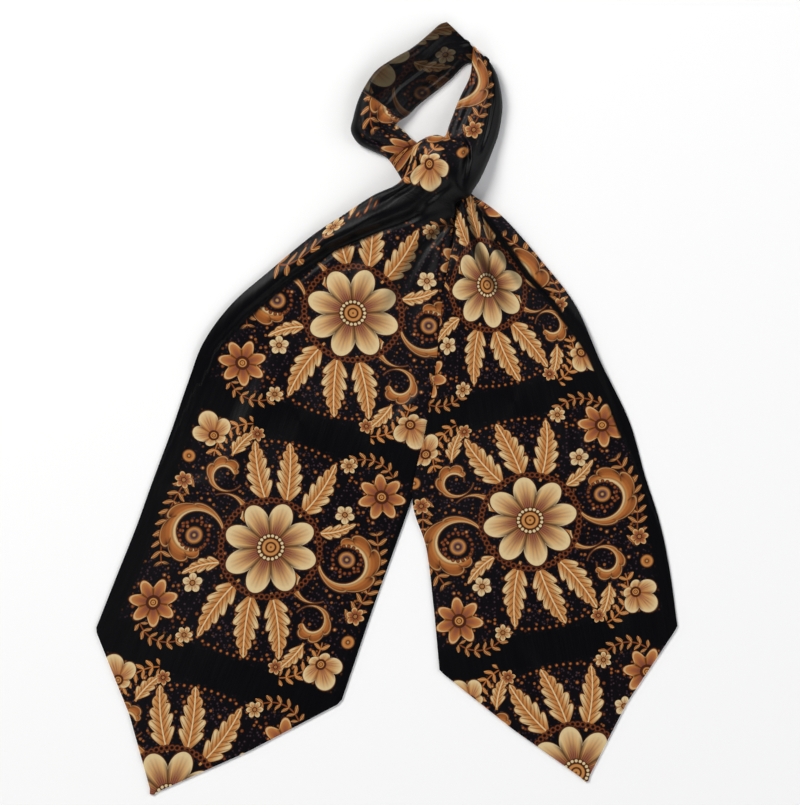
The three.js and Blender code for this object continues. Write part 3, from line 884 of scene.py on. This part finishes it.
def margin_reach(at):
    from_end = min(at["place"] - MARGIN_START, MARGIN_END - at["place"])
    full = np.interp(at["place"], HEM[:, 0], HEM[:, 1])
    turned = full * (0.25 + 0.75 * smooth(from_end, 0, MARGIN_TAPER))
    return MARGIN_BACK / at["width"], turned / at["width"]


def margin_height(at, u, x, y):
    return np.full_like(u, CLOTH + ABOVE_TABLE)


def margin_print(at, u, x, y):
    return -BLOCK_HALF - 4 - 0.4 * u * at["width"], at["place"] * 20 + 0 * u


left_margin, _ = lay("left_margin", OVER, OVER_CORNER, (MARGIN_START, MARGIN_END), (60, 8),
                     margin_height, margin_print, silk, reach=margin_reach)
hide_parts("left_blade_turned_edge")
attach(left_margin, "root")

# The lower limb, one piece from the fold at the top of the loop to the right blade's point.
# Its inner margin laps over the left blade's edge, gathers fan out below the crossing, and a
# roll of cloth runs along its shoulder.
RIGHT_SHOULDER = [(60, 134), (93, 88), (111, 68), (134, 37), (157, -20)]
RIGHT_RIDGES = [
    [(51, 134, -1.8, 3), (60, 104, -3.2, 4.5), (73, 78, -1.6, 6), (84, 56, 0, 8)],
    [(48, 126, 0.8, 3), (50, 104, 1.6, 4), (49, 80, 0.8, 6), (46, 60, 0, 7)],
    [(55, 128, 1.0, 2.6), (66, 104, 1.6, 4), (82, 78, 1.0, 6), (96, 52, 0, 8)],
    [(58, 132, -1.4, 2.6), (73, 106, -2.6, 3.8), (92, 78, -1.0, 5), (104, 58, 0, 7)],
    [(112, 20, 0, 12), (124, -30, 2.1, 14), (128, -80, 0, 14)],
    [(88, -100, 0, 8), (105, -125, 1.4, 9), (112, -156, 0, 8)],
    [(44, -62, 0, 7), (54, -90, 1.2, 9), (66, -120, 0, 8)],
    [(82, -150, 0, 8), (104, -184, 1.3, 10), (118, -214, 0, 8)],
    [(60, 40, 0, 9), (66, 0, -1.0, 10), (64, -40, 0, 10)],
    [(140, -90, 0, 12), (150, -130, 1.7, 13), (146, -170, 0, 12)],
]
UNDER_CREASES = [
    [(0, 0.5, -0.5, 3), (3, 0.46, -2.2, 3.6), (6, 0.5, -1.6, 4), (7.4, 0.5, 0, 4)],
    [(1, 0.8, 0, 3), (3.5, 0.82, -1.6, 3), (6.6, 0.8, 0, 3)],
    [(1.2, 0.2, 0, 3), (3, 0.22, 1.2, 4), (5.4, 0.2, 0, 4)],
    [(5.8, 0.7, 0, 3), (7, 0.62, -2.8, 3.4), (8.2, 0.56, -3.2, 3.6), (9.6, 0.62, -2.2, 4),
     (11, 0.7, 0, 4)],
    [(7.4, 0.2, 0, 3), (8.8, 0.26, 1.6, 4), (10, 0.3, 0, 4)],
    [(9, 0.16, 0, 3), (10.4, 0.3, -2.0, 3.4), (11.8, 0.4, 0, 3.4)],
]
LAP_CLEAR, LAP_SLOPE = 6, 12
LAP_STARTS, LAP_ENDS = (-126, -118), (62, 82)
LAP_GAP = 0.2
NEAR_CROSSING, CROSSING_GAP = (75, 95), 0.8
UNDER_BLADE = (16, 18)
UNDER_EDGE_ROLL = ((0, 2.2), (2, 3.4), (12, 3.0), (17, 1.6), (19, 0))
LEFT_INNER = OVER[12:20]


def lap_lift(x, y):
    edge = np.interp(-y, -LEFT_INNER[:, 3], LEFT_INNER[:, 2])
    over = 1 - smooth(x, edge + LAP_CLEAR, edge + LAP_CLEAR + LAP_SLOPE)
    along = smooth(-y, *LAP_STARTS) * (1 - smooth(-y, *LAP_ENDS))
    return (CLOTH + LAP_GAP + CROSSING_GAP * smooth(y, *NEAR_CROSSING)) * over * along


def under_height(at, u, x, y):
    top = top_of(at, u) + lap_lift(x, y) + crease_height(UNDER_CREASES, at, u)
    on_blade = smooth(at["place"], *UNDER_BLADE)
    top += on_blade * sum(ridge_height(path, x, y) for path in RIGHT_RIDGES)
    top += on_blade * rolled_fold(RIGHT_SHOULDER, x, y, SHOULDER_RISE, SHOULDER_DIP, 1, 0.5)
    roll = np.interp(at["place"], *np.transpose(UNDER_EDGE_ROLL))
    top -= edge_roll(at, u, roll, ROLL_RADIUS)
    return np.maximum(top - SUNK, CLOTH + ABOVE_TABLE)


# The right blade's block. Towards the crossing the cloth is gathered, so less of its width
# shows there.
RIGHT_BLOCK = np.array((94.7, -73.6))
RIGHT_UP = np.array((-0.180, 0.984))
RIGHT_STRETCH_ABOVE, RIGHT_STRETCH_BELOW = BLOCK_PITCH / 157.7, BLOCK_PITCH / 169.3
GATHERED = ((60, 1.0), (172, 0.75), (215, 0.45), (240, 0.34))
UNDER_START = 236
UNDER_SHIFT = ((0, 36), (6.4, 36), (6.45, -62), (12, -62), (14, -16))
REVERSE_END = 6.4
# The print on the back of the loop is dulled to this share: partly the duller reverse face, partly
# painted shade of the loop's inner face.
REVERSE_AND_PAINTED_SHADE = 0.12
REVERSE_FADE = (0.06, 0.16)
RESUMES_AT, RESUMES_LATER = BLOCK_HALF - 15, 20
RIGHT_PRINT_ON_BLADE = (16, 18.5)
# The valley beside the right shoulder, where the print fades to black as painted shade.
RIGHT_VALLEY, RIGHT_VALLEY_FADE = -0.3, (1.4, 2.8)
RIGHT_VALLEY_FROM = (16.5, 18.5)
UNDER_PLACES, UNDER_RUN = along_centre(UNDER, UNDER_CORNER, 0, 17)


def right_print(at, u, x, y):
    px, py = x - RIGHT_BLOCK[0], y - RIGHT_BLOCK[1]
    v = px * RIGHT_UP[0] + py * RIGHT_UP[1]
    v = v * np.where(v > 0, RIGHT_STRETCH_ABOVE, RIGHT_STRETCH_BELOW)
    blade = (px * RIGHT_UP[1] - py * RIGHT_UP[0]) / np.interp(v, *np.transpose(GATHERED))
    run = UNDER_START + UNDER_RUN[-1] - np.interp(at["place"], UNDER_PLACES, UNDER_RUN)
    loop = at["girth"] + np.interp(at["place"], *np.transpose(UNDER_SHIFT))
    away, part = beyond(RIGHT_SHOULDER, x, y)
    resumes = RESUMES_AT + RESUMES_LATER * smooth(part, 0.45, 0.65)
    border = resumes + np.where(away > 0, 0.9 * away, HIDDEN_IN_FOLD * away)
    on_blade = smooth(at["place"], *RIGHT_PRINT_ON_BLADE)
    return loop + (np.maximum(blade, border) - loop) * on_blade, run + (v - run) * on_blade


def right_show(at, u, x, y):
    """The back of the loop shows the reverse of the cloth, as far as the left turn, and its print
    is dulled there, partly as the duller reverse and partly as painted shade of the loop's inner
    face. The print also fades to black in the shoulder's valley and is dulled deep in two
    gathers, both as painted shade.
    """
    turned = smooth(np.abs(at["place"] - REVERSE_END), *REVERSE_FADE)
    away, _ = beyond(RIGHT_SHOULDER, x, y)
    in_valley = 1 - smooth(np.abs(away - RIGHT_VALLEY), *RIGHT_VALLEY_FADE)
    painted_valley_shade = 1 - smooth(at["place"], *RIGHT_VALLEY_FROM) * in_valley
    shaded = 1 - GATHER_SHADE * in_gathers(RIGHT_RIDGES[:1] + RIGHT_RIDGES[3:4], x, y)
    return painted_valley_shade * turned * shaded * (REVERSE_AND_PAINTED_SHADE if at["place"] < REVERSE_END else 1)


under_limb, under_cut = lay("under_limb", UNDER, UNDER_CORNER, (0, UNDER_TIP), (360, 80), under_height,
                            right_print, silk, show=right_show)
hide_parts("neck_loop_back", "neck_loop_turn", "under_pass", "right_blade")
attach(under_limb, "root")

# The folds inside the lower limb, as in the upper one. The lower of them also closes the gap
# between the two blades under the crossing.
UNDER_LAYERS = (
    ("under_fold_upper", 0.68, 0.6, 16.5, 0.162),
    ("under_fold_lower", 0.36, 1.4, 19.2, 0.195),
)
PINCH_REACH = 4
PINCH_FROM = (16, 17.5)


def pinch_reach(inset):
    """Under the crossing the sheet reaches further, beneath the left blade's inner edge."""
    def reach(at):
        further = PINCH_REACH * smooth(at["place"], *PINCH_FROM)
        return (inset - further) / at["width"], 1 - (inset + further / 2) / at["width"]
    return reach


for name, share, inset, end, length in UNDER_LAYERS:
    layer, _ = lay(name, UNDER, UNDER_CORNER, (FOLD_START, end), (130, 14), layer_height(share, 2.0),
                   plain_border, silk, reach=pinch_reach(inset))
    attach(layer, "root")
